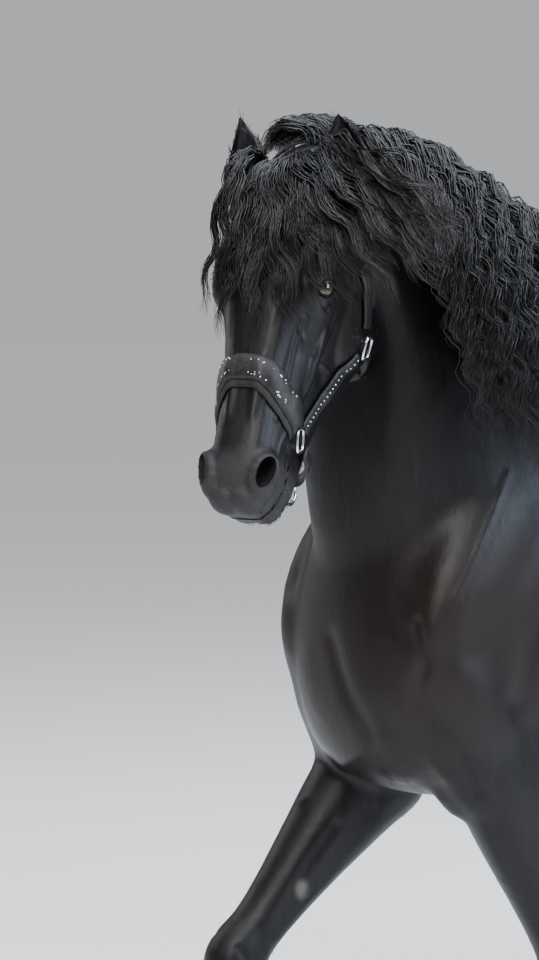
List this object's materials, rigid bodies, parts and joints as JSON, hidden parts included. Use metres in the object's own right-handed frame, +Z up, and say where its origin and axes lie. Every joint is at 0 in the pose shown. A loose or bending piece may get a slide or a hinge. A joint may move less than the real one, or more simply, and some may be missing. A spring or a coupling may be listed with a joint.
{
  "type": "friesian horse",
  "caption": "Life-size still model of a black Friesian horse at a stride, head turned to its left, with long mane, tail and feathered legs, in a halter and front leg boots.",
  "frame": {"origin": "on the floor, under the middle of the whole model's box", "axes": "+Z up, the horse walks towards -Y, its left side is towards +X"},
  "size_m": [0.7756, 2.363, 1.93],
  "materials": {
    "coat": "short glossy black coat",
    "long_hair": "long wavy black hair",
    "eye": "wet gloss, dark brown",
    "hoof": "dark horn with fine growth rings",
    "boot": "pale soft-lined leg boot",
    "halter_leather": "black leather with a padded lining",
    "halter_metal": "polished steel"
  },
  "bodies": {
    "root": {"torso": "coat", "neck": "coat", "head": "coat", "tail": "long_hair", "ear_right": "coat", "ear_left": "coat", "foreleg_right": "coat", "foreleg_left": "coat", "hindleg_left": "coat", "hindleg_right": "coat", "lower_foreleg_right": "coat", "lower_foreleg_left": "coat", "lower_hindleg_left": "coat", "lower_hindleg_right": "coat", "eye_right": "eye", "eye_left": "eye", "hoof_foreleg_right": "hoof", "hoof_foreleg_left": "hoof", "hoof_hindleg_left": "hoof", "hoof_hindleg_right": "hoof", "boot_foreleg_right": "boot", "boot_foreleg_left": "boot", "noseband": "halter_leather", "chin_strap": "halter_leather", "throat_strap": "halter_leather", "crown_strap": "halter_leather", "cheek_strap_right": "halter_leather", "cheek_strap_left": "halter_leather", "nose_ring_right": "halter_metal", "nose_ring_left": "halter_metal", "cheek_ring_right": "halter_metal", "cheek_ring_left": "halter_metal", "chin_ring": "halter_metal"}
  },
  "joints": []
}
